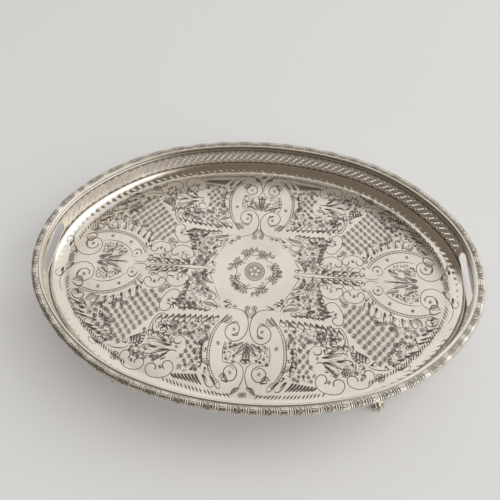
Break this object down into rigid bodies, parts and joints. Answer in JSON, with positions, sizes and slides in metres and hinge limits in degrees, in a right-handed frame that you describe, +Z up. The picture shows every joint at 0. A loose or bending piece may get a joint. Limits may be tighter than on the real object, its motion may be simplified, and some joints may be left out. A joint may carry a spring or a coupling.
{
  "type": "oval gallery tray",
  "caption": "Oval silver-plated salver with a coved, chased plate, a low pierced gallery with end hand holes, a reeded border moulding and cast paw feet.",
  "frame": {"origin": "middle of the tray on the table, under its feet", "axes": "+Z up; +X along the tray's length; the pictured front is towards -Y"},
  "size_m": [0.42, 0.292, 0.052],
  "materials": {
    "plate_silver": "polished silver plate, warm, with darkened chasing",
    "gallery_silver": "polished silver plate, pierced",
    "border_silver": "silver plate with tarnish in the recesses of the moulding",
    "foot_silver": "cast and plated, tarnished between the toes"
  },
  "bodies": {
    "root": {"tray_plate": "plate_silver", "gallery_front": "gallery_silver", "gallery_back": "gallery_silver", "gallery_left": "gallery_silver", "gallery_right": "gallery_silver", "border_front": "border_silver", "border_back": "border_silver", "border_left": "border_silver", "border_right": "border_silver", "foot_front_left": "foot_silver", "foot_front_right": "foot_silver", "foot_back_left": "foot_silver", "foot_back_right": "foot_silver"}
  },
  "joints": []
}
